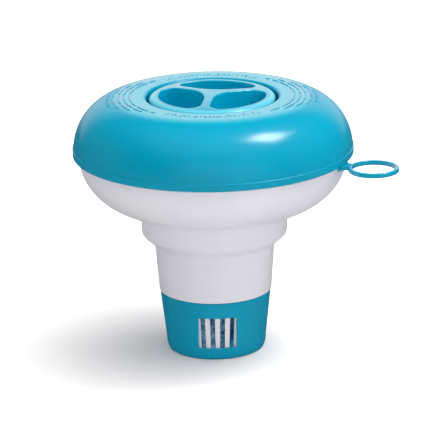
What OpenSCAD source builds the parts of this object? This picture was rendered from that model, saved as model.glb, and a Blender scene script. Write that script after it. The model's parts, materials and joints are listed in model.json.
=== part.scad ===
/* Floating chlorine dispenser: a domed float with a twist-off lid, a slotted
   basket for tablets under it and a turning collar that sets the flow.
   Millimetres, +Z up. The origin is the middle of the flat foot, and the tether
   eye points along +X. All parts of revolution share the Z axis. */

/* [Float] */
// Diameter of the float over its rim
float_d = 178; // [170:1:190]
// Height of the crown above the foot
crown_z = 166; // [160:1:172]
// Diameter of the level crown round the lid
crown_flat_d = 104; // [98:1:110]
// Height of the rim's lower edge above the foot
rim_z = 129.2; // [127:0.2:131]
// Height of the band round the rim
rim_band = 4.7; // [4.2:0.1:5.4]
// How far the band stands out from the shoulder
rim_step = 0.5; // [0.3:0.1:0.8]
// Fullness of the shoulder, 2 for a plain ellipse
shoulder_fullness = 2.3; // [2:0.1:2.6]
// Wall thickness of both float shells
shell_wall = 2.2; // [1.8:0.1:2.6]
// How far the rim stands out past the lower shell
rim_overhang = 3.7; // [3.2:0.1:4.5]
// Depth of the lower shell's bowl, from the rim to the cup
bowl_depth = 35.8; // [33:0.2:38]

/* [Lid seat] */
// Diameter of the opening in the crown and of the tablet tube under it
opening_d = 83.8; // [83:0.2:85]
// Width of the ledge, inside which a 76 mm tablet still passes
ledge_w = 3.3; // [2.9:0.1:3.6]
// Thickness of the ledge
ledge_t = 2.6; // [2:0.2:3.2]
// Depth of the ledge below the crown
ledge_depth = 6.8; // [6:0.2:8]
// Wall thickness of the tablet tube
tube_wall = 2; // [1.6:0.1:2.4]

/* [Lid] */
// Gap between the lid's cap and the opening
cap_gap = 1.8; // [1.4:0.1:2.1]
// Height of the middle of the lid above the crown
lid_rise = 2.4; // [1.8:0.1:3]
// How much higher the lid's middle is than its rim
lid_dome = 2; // [1.4:0.1:2.6]
// Width of the rounding at the lid's edge
lid_edge_w = 3.5; // [2.8:0.1:4]
// Height of the rounding at the lid's edge
lid_edge_h = 3; // [2.4:0.1:3.6]
// Wall thickness of the lid's skirt
skirt_wall = 2.45; // [2.25:0.1:2.75]
// Wall thickness of the lid's top and finger pockets
pocket_wall = 1.8; // [1.4:0.1:2.2]
// Width of the lid's rim outside the three finger pockets
pocket_rim_w = 6.1; // [5.6:0.1:8]
// Depth of the finger pockets below the lid's rim
pocket_depth = 16; // [14:0.5:18]
// Width of the three webs between the pockets
web_w = 5.6; // [5:0.2:7]
// Radius of each pocket's corner at the middle of the lid
pocket_apex_r = 24; // [20:1:26]
// Radius of each pocket's two corners at the rim
pocket_corner_r = 4; // [3:0.5:5]
// Thickness of the seal under the lid
seal_t = 1.2; // [1:0.1:1.6]
// Height of the lid's three locking lugs
lug_h = 3; // [2.4:0.2:3.6]
// Arc that each lug takes up, in degrees
lug_arc = 18; // [14:1:20]
// Turn from the open to the locked position of the lid, in degrees
lid_turn = 35; // [30:1:40]

/* [Cup, neck and basket] */
// Wall thickness of the cup, round the tablet tube
cup_wall = 2.15; // [1.8:0.05:2.8]
// Height of the cup's lower face
cup_z = 70.1; // [68:0.1:72]
// Height of the slope round the cup's lower edge, down to the neck
cup_edge_h = 6.8; // [6:0.1:8]
// Radius of the bend between the slope and the cup's wall
cup_bend_r = 4; // [3:0.5:5]
// Radius of the fillet between the cup and the bowl
cup_fillet_r = 2; // [1:0.5:3]
// Width of the step from the cup in to the neck
neck_step = 8.1; // [7.8:0.1:8.6]
// How much the neck narrows on each side, down to the collar
neck_taper = 2.45; // [2:0.05:2.8]
// Wall thickness of the basket
basket_wall = 1.9; // [1.7:0.1:2.2]
// Width of the basket's slots
slot_w = 3.15; // [2.8:0.05:3.4]
// Width of the bars between the slots
bar_w = 3.15; // [2.8:0.05:3.5]
// Slots behind each window
slot_count = 4; // [3:1:4]

/* [Flow collar] */
// How far the collar's top lies inside the neck's lower edge
collar_inset = 0.4; // [0.2:0.1:0.6]
// Height of the collar
collar_h = 39; // [37:0.5:40]
// How much the collar narrows on each side, down to its foot's rounding
collar_taper = 3.6; // [3:0.1:4]
// Height of the rounding at the collar's foot
foot_h = 8; // [6:0.5:9]
// How far the foot's rounding goes in
foot_inset = 2.4; // [2:0.1:3]
// Wall thickness of the collar
collar_wall = 1.8; // [1.6:0.1:2]
// Thickness of the collar's floor
collar_floor = 2.6; // [2.2:0.1:3]
// Number of windows in the collar
window_count = 3; // [2:1:4]
// Width of each window
window_w = 24.4; // [22:0.2:25]
// Height of the windows' lower edge
window_z = 8; // [7:0.5:9]
// Height of each window
window_h = 20.8; // [18:0.2:22]
// Depth of the grip flutes on the collar
flute_depth = 0.35; // [0.2:0.05:0.5]
// Grip flutes between two windows
flute_count = 11; // [7:1:13]

/* [Tether eye] */
// Bore of the tether eye
eye_d = 27; // [24:0.5:28]
// Width of the eye's ring
eye_ring_w = 2.5; // [2:0.1:3.5]
// Thickness of the eye's ring
eye_ring_h = 3; // [2.6:0.1:3.6]
// Length of the nub between the rim and the ring
nub_l = 2.5; // [2:0.1:4]

/* [Tablets] */
// Gap round a layer of three tablets, which makes them 25 mm across
tablet_gap = 0.67; // [0.4:0.01:2]
// Thickness of the tablets
tablet_t = 11; // [9:0.5:12]
// Rounding of the tablets' edges
tablet_edge = 1; // [0.6:0.1:1.6]

/* [Clearances] */
// Radial gap between two pieces that slip over each other
slip_gap = 0.3; // [0.2:0.05:0.4]
// Radial gap between the lid's skirt and its ledge
lid_gap = 0.6; // [0.4:0.1:0.7]
// Gap between the faces of two pieces that turn
face_gap = 0.3; // [0.2:0.05:0.4]
// Angle left free at each end of a turn, in degrees
stop_gap = 0.6; // [0.4:0.1:1]

/* [Hidden] */
$fn = 120;
bit = 0.01;           // overlap that fuses two solids of one piece
fuse = 1;             // depth that ribs, lugs and the ledge reach into the wall that carries them
cut_l = 14;           // length of the cuts through the basket's and the collar's walls
third = 360 / 3;      // the lid's pockets and lugs, and the collar's beads, are in threes
curve_steps = 18;     // points along a quarter of a curved wall
edge_steps = 5;       // points along a small rounding

teal = [0.0, 0.62, 0.74];
deep_teal = [0.0, 0.50, 0.66];
shell_white = [0.88, 0.88, 0.92];
rubber_black = [0.05, 0.07, 0.09];
tablet_white = [0.82, 0.88, 0.92];

// Directions about Z, seen from above: the tether eye is at 0
lid_arm_a = -77.6;    // the lid's web nearest the front
window_a = -66.5;     // the front window

// Float
float_r = float_d / 2;
crown_flat_r = crown_flat_d / 2;
rim_top_z = rim_z + rim_band;
shoulder_r = float_r - rim_step;
shoulder_z = rim_z + rim_band * 2 / 3;     // the shoulder is upright here, behind the band
bowl_r = float_r - rim_overhang;
bowl_z = rim_z + 0.2;                      // the bowl's top hides just inside the rim
edge_r = 0.8;                              // rounding of the shells' free edges
flange_t = 2;                              // lower shell's weld flange
flange_r = float_r - shell_wall - slip_gap;
weld_rib_w = 2.2;                          // upper shell's rib that sits on the flange
weld_rib_h = 3;
opening_r = opening_d / 2;
tube_r = opening_r + tube_wall;
ledge_r = opening_r - ledge_w;
ledge_z = crown_z - ledge_depth;           // top of the ledge, where the seal lies

// Lid
lid_r = opening_r - cap_gap;
lid_top_r = lid_r - lid_edge_w;
lid_top_z = crown_z + lid_rise;
lid_rim_z = lid_top_z - lid_dome;
lid_dome_r = (pow(lid_top_r, 2) + pow(lid_dome, 2)) / (2 * lid_dome);
lid_under_z = ledge_z + seal_t;            // the cap's lower face presses on the seal
skirt_r = ledge_r - lid_gap;
skirt_in_r = skirt_r - skirt_wall;
lug_top_z = ledge_z - ledge_t - face_gap;
lug_out_r = opening_r - lid_gap;
skirt_end = 1.6;                           // skirt left below the lugs
skirt_z = lug_top_z - lug_h - skirt_end;
pocket_r = lid_r - pocket_rim_w;
pocket_floor_z = lid_rim_z - pocket_depth;
notch_arc = lug_arc + 5;
stop_rib_arc = 2.5;
stop_rib_w = 2.2;
seal_in_r = skirt_r + slip_gap;
seal_out_r = opening_r - lid_gap;

// Cup, neck and basket
sleeve_r = tube_r + slip_gap;              // the tube slips into the cup
cup_r = sleeve_r + cup_wall;
shelf_h = 10;                              // cup's inside up to the shelf for the tube
sleeve_z = cup_z + shelf_h;                // shelf that the tube stands on
cup_floor_z = cup_z + shell_wall;
neck_top_r = cup_r - neck_step;
neck_low_r = neck_top_r - neck_taper;
neck_z = collar_h + 0.4;                   // shadow gap over the collar
neck_in_z = neck_z + 4;                    // the neck's inside meets the basket's here
cup_in_r = neck_top_r - shell_wall;        // bore through the cup's floor
cup_lip_w = 0.2;                           // flat between the neck and the cup's slope
cup_in_edge_r = min(5.6, opening_r - cup_in_r - cup_lip_w);   // rounding inside the cup
bowl_floor_r = cup_r - 1.4;                // where the bowl's curve would end
basket_z = collar_floor + face_gap;
basket_floor_z = basket_z + 2;
slot_low_lap = 0.8;                        // the slots run past the windows' edges
slot_top_lap = 1;
slot_z = window_z - slot_low_lap;
slot_h = window_h + slot_low_lap + slot_top_lap;
slot_corner = 0.6;
snap_z = collar_h - 4.6;                   // lower face of the snap groove
snap_h = 2.4;
snap_groove = 1;

// Collar
collar_turn = 180 / window_count;         // from open to closed, half a window step
collar_top_r = neck_low_r - collar_inset;
collar_low_r = collar_top_r - collar_taper;
foot_r = collar_low_r - foot_inset;
window_corner = 0.8;
flute_w = 1.2;
top_band = 4;                              // smooth band over the flutes
bead_arc = 24;
bead_gap = 0.4;                            // above and below each bead in its groove
key_arc = 12;
key_in_r = 17;
key_out_r = 20;
key_h = 1.2;

// Tether eye
eye_r = eye_d / 2;
eye_out_r = eye_r + eye_ring_w;
eye_x = float_r + nub_l + eye_out_r;
eye_z = rim_z - eye_ring_h;                // lower face of the ring; its nub meets the rim from below
eye_edge = 0.5;
eye_root_r = float_r - shell_wall + 0.3;   // inner end of the nub, under the rim
nub_half_w = 3.2;                          // half width of the nub at the ring
nub_fillet = 5.5;                          // radius that flares the nub into the rim

// Radius of the collar's outside at height z
function collar_r(z) = z >= foot_h
    ? collar_low_r + (collar_top_r - collar_low_r) * (z - foot_h) / (collar_h - foot_h)
    : foot_r + foot_inset * sqrt(1 - pow((foot_h - z) / foot_h, 2));

// Radius of the basket's outside at height z
function basket_r(z) = collar_r(z) - collar_wall - slip_gap;

// Points along an arc or an ellipse, from angle a0 to a1 about c
function curve(c, rx, ry, a0, a1, steps, full = 2) = [
    for (i = [0:steps]) let (a = a0 + (a1 - a0) * i / steps)
        [c[0] + rx * sign(cos(a)) * pow(abs(cos(a)), 2 / full), c[1] + ry * sin(a)]];

// A sector of a ring of the given section, from angle a0 over arc degrees
module sector(a0, arc) {
    rotate([0, 0, a0]) rotate_extrude(angle = arc) children();
}

// A box section from radius r0 to r1 and from height z0 to z1
module section(r0, r1, z0, z1) {
    translate([r0, z0]) square([r1 - r0, z1 - z0]);
}

// Rectangle with round corners, middle of its lower edge at the origin
module round_rect(w, h, r) {
    translate([-w / 2 + r, 0]) square([w - 2 * r, h]);
    translate([-w / 2, r]) square([w, h - 2 * r]);
    for (x = [-w / 2 + r, w / 2 - r], y = [r, h - r]) translate([x, y]) circle(r, $fn = 48);
}

// Finger pocket seen from above, along +X, made wider all round by grow.
// Its two straight sides run along the webs; a large arc joins them at the
// lid's middle and two small ones join them to the outer circle.
module pocket_outline(grow) {
    side_a = 60;                                     // each side's angle from the middle line
    apex = web_w / 2 / sin(side_a);                  // where the two sides would meet
    cx = apex + pocket_apex_r / sin(side_a);         // centre of the large arc
    rr = pocket_r - pocket_corner_r;                 // the small arcs' centres lie on this circle
    off = web_w / 2 + pocket_corner_r;               // and this far from the web's middle line
    ca = side_a - asin(off / rr);
    sweep = 90 - side_a;
    big = [for (i = [-curve_steps:curve_steps]) let (a = 180 - sweep * i / curve_steps)
        [cx + (pocket_apex_r + grow) * cos(a), (pocket_apex_r + grow) * sin(a)]];
    c = [rr * cos(ca), rr * sin(ca)];
    rc = pocket_corner_r + grow;
    corner = curve(c, rc, rc, 90 + side_a, ca, edge_steps * 2);
    outer = curve([0, 0], pocket_r + grow, pocket_r + grow, ca, 0, curve_steps);
    upper = concat(corner, [for (i = [1:len(outer) - 1]) outer[i]]);
    lower = [for (i = [len(upper) - 2:-1:0]) [upper[i][0], -upper[i][1]]];
    polygon(concat([for (i = [len(big) - 1:-1:0]) [big[i][0], -big[i][1]]], upper, lower));
}

// Full outer form of the lid's cap and skirt, without its hollow
module lid_form() {
    rotate_extrude() polygon(concat(
        [[0, skirt_z], [skirt_r, skirt_z], [skirt_r, lid_under_z], [lid_r - edge_r / 2, lid_under_z],
         [lid_r, lid_under_z + edge_r / 2]],
        curve([lid_top_r, lid_rim_z - lid_edge_h], lid_edge_w, lid_edge_h, 0, 90, edge_steps * 2),
        [[0, lid_rim_z]]));
    intersection() {
        translate([0, 0, lid_rim_z - 1]) cylinder(r = lid_top_r, h = lid_dome + 2);
        translate([0, 0, lid_top_z - lid_dome_r]) sphere(lid_dome_r, $fn = 360);
    }
}

module lid() {
    color(teal) {
        difference() {
            union() {
                difference() {
                    lid_form();
                    translate([0, 0, skirt_z - 1]) intersection() {
                        cylinder(r = skirt_in_r, h = lid_top_z - skirt_z);
                        translate([0, 0, lid_top_z - skirt_z + 1 - pocket_wall - lid_dome_r])
                            sphere(lid_dome_r, $fn = 360);
                    }
                }
                intersection() {
                    for (k = [0:2]) rotate([0, 0, lid_arm_a + third * (k + 0.5)])
                        translate([0, 0, pocket_floor_z - pocket_wall])
                            linear_extrude(lid_rim_z - pocket_floor_z + lid_dome)
                                pocket_outline(pocket_wall);
                    translate([0, 0, lid_top_z - lid_dome_r - pocket_wall / 2])
                        sphere(lid_dome_r, $fn = 360);
                }
            }
            for (k = [0:2]) rotate([0, 0, lid_arm_a + third * (k + 0.5)])
                translate([0, 0, pocket_floor_z]) linear_extrude(lid_top_z) pocket_outline(0);
        }
        for (k = [0:2]) sector(lid_arm_a + third * k - lug_arc / 2, lug_arc)
            section(skirt_r - fuse, lug_out_r, lug_top_z - lug_h, lug_top_z);
    }
}

module lid_seal() {
    color(rubber_black) rotate_extrude() section(seal_in_r, seal_out_r, ledge_z, ledge_z + seal_t);
}

// Half section of the upper shell: crown, shoulder, rim and weld rib
module upper_section() {
    in_r = float_r - shell_wall;
    band_edge = rim_step * 0.8;
    polygon(concat(
        [[opening_r, crown_z - shell_wall]],
        curve([opening_r + edge_r, crown_z - edge_r], edge_r, edge_r, 180, 90, edge_steps),
        [for (p = curve([crown_flat_r, shoulder_z], shoulder_r - crown_flat_r, crown_z - shoulder_z,
                        90, 0, curve_steps, shoulder_fullness)) if (p[1] > rim_top_z + 0.2) p],
        [[shoulder_r, rim_top_z]],
        curve([float_r - band_edge, rim_top_z - band_edge], band_edge, band_edge, 90, 0, edge_steps),
        curve([float_r - edge_r, rim_z + edge_r], edge_r, edge_r, 0, -90, edge_steps),
        [[in_r, rim_z], [in_r, bowl_z + flange_t],
         [in_r - weld_rib_w, bowl_z + flange_t], [in_r - weld_rib_w, bowl_z + flange_t + weld_rib_h]],
        [for (p = curve([crown_flat_r, shoulder_z], shoulder_r - shell_wall - crown_flat_r,
                        crown_z - shell_wall - shoulder_z, 0, 90, curve_steps, shoulder_fullness))
            if (p[1] > bowl_z + flange_t + weld_rib_h) p]));
}

module upper_float_shell() {
    color(teal) rotate_extrude() upper_section();
}

// Tube under the crown, with the ledge that the lid locks on
module tablet_tube() {
    color(teal) {
        rotate_extrude() section(opening_r, tube_r, sleeve_z, crown_z - shell_wall);
        // The ledge is three sectors, with a notch between them for each lug
        for (k = [0:2]) sector(lid_arm_a + third * k + notch_arc / 2, third - notch_arc)
            section(ledge_r, opening_r + fuse, ledge_z - ledge_t, ledge_z);
        // Each lug runs between two ribs under the ledge: open at one, locked at the other
        for (k = [0:2], a = [lug_arc / 2 + stop_gap,
                             -lug_arc / 2 - lid_turn - stop_gap - stop_rib_arc])
            sector(lid_arm_a + third * k + a, stop_rib_arc)
                section(opening_r - stop_rib_w, opening_r + fuse, lug_top_z - lug_h, ledge_z - ledge_t + bit);
    }
}

module tether_eye() {
    nub_end = eye_x - eye_out_r + eye_ring_w / 2;
    nub_root_w = nub_half_w + nub_fillet;
    color(teal) difference() {
        union() {
            translate([eye_x, 0, eye_z]) rotate_extrude() polygon([
                [0, 0], [eye_out_r - eye_edge, 0], [eye_out_r, eye_edge],
                [eye_out_r, eye_ring_h - eye_edge], [eye_out_r - eye_edge, eye_ring_h],
                [0, eye_ring_h]]);
            // The nub flares in two arcs to the rim and ends under it
            translate([0, 0, eye_z]) linear_extrude(eye_ring_h) difference() {
                translate([eye_root_r - nub_root_w, -nub_root_w])
                    square([nub_end - eye_root_r + nub_root_w, 2 * nub_root_w]);
                circle(eye_root_r);
                for (y = [-nub_root_w, nub_root_w]) translate([nub_end, y]) circle(nub_fillet);
            }
        }
        // The bore, with a chamfer at each mouth
        translate([eye_x, 0, eye_z]) rotate_extrude() polygon([
            [0, -1], [eye_r + eye_edge + 1, -1], [eye_r, eye_edge], [eye_r, eye_ring_h - eye_edge],
            [eye_r + eye_edge + 1, eye_ring_h + 1], [0, eye_ring_h + 1]]);
    }
}

// Radius of the neck's outside at height z
function neck_r(z) = neck_low_r + neck_taper * (z - neck_z) / (cup_z - neck_z);

// Radius of the neck's inside at height z
function neck_bore_r(z) = neck_low_r - shell_wall
    + (cup_in_r - neck_low_r + shell_wall) * (z - neck_in_z) / (cup_floor_z - neck_in_z);

// Half section of the lower shell: bowl and cup
module bowl_section() {
    bowl_w = bowl_r - bowl_floor_r;
    // The fillet meets the bowl's curve at this angle of the curve, height and slope
    bowl_end = acos((cup_r + cup_fillet_r - bowl_floor_r) / bowl_w);
    fillet_z = bowl_z - bowl_depth * sin(bowl_end);
    fillet_a = atan(bowl_depth / bowl_w / tan(bowl_end));
    // The bend turns the cup's slope up into its wall
    bend_a = 90 - atan(cup_edge_h / (neck_step - cup_lip_w));
    polygon(concat(
        [[neck_bore_r(cup_z), cup_z], [neck_top_r + cup_lip_w, cup_z]],
        curve([cup_r - cup_bend_r, cup_z + cup_edge_h + cup_bend_r * tan(bend_a / 2)],
              cup_bend_r, cup_bend_r, -bend_a, 0, edge_steps),
        curve([cup_r + cup_fillet_r, fillet_z - cup_fillet_r], cup_fillet_r, cup_fillet_r,
              180, 90 + fillet_a, edge_steps),
        curve([bowl_floor_r, bowl_z], bowl_w, -bowl_depth, bowl_end, 0, curve_steps),
        [[flange_r, bowl_z], [flange_r, bowl_z + flange_t], [bowl_r - shell_wall, bowl_z + flange_t]],
        curve([bowl_floor_r, bowl_z], bowl_w - shell_wall, shell_wall - bowl_depth, 0, 90, curve_steps),
        [[sleeve_r, bowl_z + shell_wall - bowl_depth], [sleeve_r, sleeve_z], [opening_r, sleeve_z]],
        curve([opening_r - cup_in_edge_r, cup_floor_z + cup_in_edge_r], cup_in_edge_r, cup_in_edge_r,
              0, -90, edge_steps * 2),
        [[cup_in_r, cup_floor_z]]));
}

module lower_float_shell() {
    color(shell_white) rotate_extrude() bowl_section();
}

module neck() {
    color(shell_white) rotate_extrude() polygon([
        [neck_bore_r(neck_in_z), neck_in_z], [neck_r(neck_in_z), neck_in_z],
        [neck_r(cup_z), cup_z], [neck_bore_r(cup_z), cup_z]]);
}

// Half section of the basket, from its floor to the flange over the collar
module basket_section() {
    basket_edge = 1.2;
    snap_top_z = snap_z + snap_h;
    polygon(concat(
        [[0, basket_z]],
        curve([basket_r(basket_z + basket_edge) - basket_edge, basket_z + basket_edge],
              basket_edge, basket_edge, -90, 0, edge_steps),
        [for (z = [foot_h / 2 + 1, foot_h - 1, foot_h]) [basket_r(z), z]],
        [[basket_r(snap_z), snap_z], [basket_r(snap_z) - snap_groove, snap_z],
         [basket_r(snap_top_z) - snap_groove, snap_top_z], [basket_r(snap_top_z), snap_top_z],
         [basket_r(collar_h), collar_h], [basket_r(collar_h), neck_z],
         [neck_low_r, neck_z], [neck_r(neck_in_z), neck_in_z], [neck_bore_r(neck_in_z), neck_in_z],
         [basket_r(snap_top_z) - basket_wall, snap_top_z], [basket_r(foot_h) - basket_wall, foot_h],
         [basket_r(basket_floor_z) - basket_wall, basket_floor_z], [0, basket_floor_z]]));
}

module basket() {
    slot_pitch = (slot_w + bar_w) / basket_r(window_z + window_h / 2) * 180 / PI;
    color(shell_white) {
        difference() {
            rotate_extrude() basket_section();
            for (k = [0:window_count - 1], i = [0:slot_count - 1])
                rotate([0, 0, window_a + 360 / window_count * k + slot_pitch * (i - (slot_count - 1) / 2)])
                    translate([basket_r(0) - cut_l / 3, 0, slot_z]) rotate([90, 0, 90])
                        linear_extrude(cut_l) round_rect(slot_w, slot_h, slot_corner);
        }
        // Key under the basket that runs in the collar's groove and stops its turn
        sector(window_a, key_arc) section(key_in_r, key_out_r, basket_z - key_h, basket_z + bit);
    }
}

// Half section of the collar: floor, foot and tapered wall
module collar_section() {
    in_edge = 1.6;
    polygon(concat(
        [[0, 0], [foot_r - edge_r, 0]],
        [for (i = [0:curve_steps / 2]) let (z = foot_h * pow(i / (curve_steps / 2), 2) * 0.95 + foot_h * 0.05)
            [collar_r(z), z]],
        [[collar_top_r, collar_h - edge_r / 2], [collar_top_r - edge_r / 2, collar_h],
         [collar_top_r - collar_wall, collar_h], [collar_low_r - collar_wall, foot_h],
         [collar_r(foot_h - 2) - collar_wall, foot_h - 2],
         [collar_r(collar_floor + in_edge) - collar_wall, collar_floor + in_edge]],
        curve([collar_r(collar_floor + in_edge) - collar_wall - in_edge, collar_floor + in_edge],
              in_edge, in_edge, 0, -90, edge_steps),
        [[0, collar_floor]]));
}

module flow_collar() {
    window_step = 360 / window_count;
    edge_a = asin(window_w / 2 / collar_low_r);
    flute_step = (window_step - 2 * edge_a) / (flute_count + 1);
    taper = atan((collar_top_r - collar_low_r) / (collar_h - foot_h));
    flute_z = foot_h - flute_w / 2;
    flute_h = collar_h - top_band - flute_z;
    color(deep_teal) {
        difference() {
            rotate_extrude() collar_section();
            for (k = [0:window_count - 1]) rotate([0, 0, window_a + window_step * k])
                translate([collar_low_r - cut_l / 2, 0, window_z]) rotate([90, 0, 90])
                    linear_extrude(cut_l) round_rect(window_w, window_h, window_corner);
            for (k = [0:window_count - 1], i = [1:flute_count])
                rotate([0, 0, window_a + window_step * k + edge_a + flute_step * i])
                    translate([collar_r(flute_z), 0, flute_z]) rotate([0, taper, 0])
                        translate([-flute_depth, -flute_w / 2, 0]) cube([flute_w, flute_w, flute_h]);
            sector(window_a - stop_gap, key_arc + collar_turn + 2 * stop_gap)
                section(key_in_r - slip_gap, key_out_r + slip_gap, collar_floor - key_h, collar_floor + 1);
        }
        // Beads that snap into the basket's groove and carry the collar
        for (k = [0:2]) sector(window_a + third * (k + 0.5) - bead_arc / 2, bead_arc)
            section(basket_r(snap_z) - snap_groove / 2, collar_r(snap_z) - collar_wall / 2,
                    snap_z + bead_gap, snap_z + snap_h - bead_gap);
    }
}

// One tablet of a layer of three, standing on height z and turned by a
module tablet(layer, k) {
    turn = [-14, -20];
    edge = tablet_edge;
    touch_gap = 0.1;
    // Three equal circles side by side inside the basket's wall
    r = (basket_r(basket_floor_z) - basket_wall - tablet_gap) / (1 + 1 / sin(60));
    spread = r / sin(60) + touch_gap;
    color(tablet_white) rotate([0, 0, window_a + turn[layer] + third * k])
        translate([spread, 0, basket_floor_z + layer * tablet_t])
            rotate_extrude() polygon([[0, 0], [r - edge, 0], [r, edge], [r, tablet_t - edge],
                                      [r - edge, tablet_t], [0, tablet_t]]);
}

lid();
lid_seal();
upper_float_shell();
tablet_tube();
tether_eye();
lower_float_shell();
neck();
basket();
flow_collar();
tablet(0, 0);  // tablet_1
tablet(0, 1);  // tablet_2
tablet(0, 2);  // tablet_3
tablet(1, 0);  // tablet_4
tablet(1, 1);  // tablet_5
tablet(1, 2);  // tablet_6
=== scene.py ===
"""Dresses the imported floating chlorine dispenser: smooth moulded skins over the CAD nodes,
their plastics, and the photograph's camera and studio light. Metres, +Z up."""
import json
import math

import bmesh
import bpy
import numpy as np
from mathutils import Matrix, Vector
from mathutils.bvhtree import BVHTree


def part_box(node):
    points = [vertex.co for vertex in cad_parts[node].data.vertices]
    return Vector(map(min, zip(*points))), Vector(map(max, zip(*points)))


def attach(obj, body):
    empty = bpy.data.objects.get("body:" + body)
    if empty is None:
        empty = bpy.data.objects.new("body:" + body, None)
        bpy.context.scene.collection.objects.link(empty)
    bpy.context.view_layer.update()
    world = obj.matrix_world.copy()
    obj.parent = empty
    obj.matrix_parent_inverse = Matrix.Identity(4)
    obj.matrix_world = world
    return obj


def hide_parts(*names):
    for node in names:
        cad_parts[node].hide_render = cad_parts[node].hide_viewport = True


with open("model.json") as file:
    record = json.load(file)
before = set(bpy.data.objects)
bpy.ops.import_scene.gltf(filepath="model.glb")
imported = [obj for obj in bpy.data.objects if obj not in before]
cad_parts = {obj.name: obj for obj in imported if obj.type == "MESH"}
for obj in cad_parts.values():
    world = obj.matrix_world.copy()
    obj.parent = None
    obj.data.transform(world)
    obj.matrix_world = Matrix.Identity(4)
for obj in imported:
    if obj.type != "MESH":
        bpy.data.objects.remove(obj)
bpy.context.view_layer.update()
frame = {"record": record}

MM = 0.001
TAU = 2 * math.pi
DEG = math.pi / 180
THIRD = TAU / 3

# ---- sizes from the frame
shell_low, shell_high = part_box("upper_float_shell")
tube_low, tube_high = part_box("tablet_tube")
eye_low, eye_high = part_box("tether_eye")
lid_low, lid_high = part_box("lid")
seal_low, seal_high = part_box("lid_seal")
cup_low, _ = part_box("lower_float_shell")
neck_low, neck_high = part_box("neck")
_, collar_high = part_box("flow_collar")
EYE = next(m for m in frame["record"]["mounts"] if m["name"] == "tether_eye")

FLOAT_R = -shell_low.x
CROWN_Z, RIM_Z = shell_high.z, shell_low.z
TUBE_R, TUBE_Z = tube_high.y, tube_low.z
CUP_Z = cup_low.z
NECK_TOP_R, NECK_IN_Z = neck_high.y, neck_low.z
LID_TOP_Z, LID_LOW_Z = lid_high.z, lid_low.z
LID_UNDER_Z, SEAL_Z = seal_high.z, seal_low.z
COLLAR_TOP_R, COLLAR_H = collar_high.y, collar_high.z
EYE_R = EYE["dims"]["r_mm"] * MM
EYE_X = EYE["pos_m"][0]
EYE_OUT_R = eye_high.y
EYE_LOW_Z, EYE_TOP_Z = eye_low.z, eye_high.z

# ---- sizes of the mouldings
WALL = 2.2 * MM  # both float shells
CROWN_FLAT_R = 52 * MM
OPENING_R = TUBE_R - 2 * MM
RIM_TOP_Z = RIM_Z + 4.7 * MM
RIM_STEP = 0.5 * MM
FULLNESS = 2.3  # of the shoulder's curve, 2 for an ellipse
SHOULDER_R = FLOAT_R - RIM_STEP
SHOULDER_Z = RIM_Z + 3.133 * MM
BOWL_R = FLOAT_R - 3.7 * MM
BOWL_Z = RIM_Z + 0.2 * MM
BOWL_DEPTH = 35.8 * MM
FLANGE_T = 2 * MM
LEDGE_R = OPENING_R - 3.3 * MM
LEDGE_LOW_Z = SEAL_Z - 2.6 * MM
LUG_TOP_Z = LEDGE_LOW_Z - 0.3 * MM
LUG_LOW_Z = LUG_TOP_Z - 3 * MM
LUG_ARC = 18 * DEG
NOTCH_ARC = 23 * DEG
LID_TURN = 35 * DEG
STOP_GAP = 0.6 * DEG
STOP_ARC = 2.5 * DEG

LID_R = OPENING_R - 1.8 * MM
LID_EDGE_W, LID_EDGE_H = 3.5 * MM, 3 * MM
LID_TOP_R = LID_R - LID_EDGE_W
LID_DOME = 2 * MM
LID_DOME_R = (LID_TOP_R ** 2 + LID_DOME ** 2) / (2 * LID_DOME)
LID_RIM_Z = LID_TOP_Z - LID_DOME
SKIRT_R = LEDGE_R - 0.6 * MM
SKIRT_IN_R = SKIRT_R - 2.45 * MM
POCKET_R = LID_R - 6.1 * MM
POCKET_WALL = 1.4 * MM
POCKET_FLOOR_Z = LID_RIM_Z - 16 * MM
POCKET_APEX_R = 24 * MM
POCKET_CORNER_R = 7 * MM
WEB_W = 5.6 * MM
LID_ARM = -77.6 * DEG  # direction of the web nearest the camera

SLEEVE_R = TUBE_R + 0.3 * MM
CUP_R = SLEEVE_R + 2.15 * MM
CUP_EDGE_H = 6.8 * MM  # height of the slope under the cup
CUP_BEND_R = 4 * MM  # between the slope and the cup's wall
CUP_LIP_W = 0.2 * MM
CUP_FILLET_R = 2 * MM  # between the cup and the bowl
NECK_LOW_R = NECK_TOP_R - 2.45 * MM
NECK_Z = COLLAR_H + 0.4 * MM

COLLAR_LOW_R = COLLAR_TOP_R - 3.6 * MM
FOOT_H = 8 * MM
FOOT_INSET = 2.4 * MM
COLLAR_WALL = 1.8 * MM
COLLAR_FLOOR = 2.6 * MM
WINDOW_ARC = -66.5 * DEG  # direction of the front window
WINDOW_W, WINDOW_H = 24.4 * MM, 20.8 * MM
WINDOW_Z = 8 * MM
WINDOWS = 3
FLUTES = 11  # between two windows
FLUTE_DEPTH = 0.22 * MM
BASKET_WALL = 1.9 * MM
BASKET_LOW_Z = COLLAR_FLOOR + 0.3 * MM
BASKET_FLOOR_Z = BASKET_LOW_Z + 2 * MM
SLOT_W, BAR_W = 3.15 * MM, 3.15 * MM
SLOTS = 4  # behind each window
SLOT_Z, SLOT_H = WINDOW_Z - 0.8 * MM, WINDOW_H + 1.8 * MM
SNAP_Z, SNAP_H, SNAP_DEPTH = COLLAR_H - 4.6 * MM, 2.4 * MM, 1 * MM
KEY_IN_R, KEY_OUT_R, KEY_H = 17 * MM, 20 * MM, 1.2 * MM
KEY_ARC = 12 * DEG

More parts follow.
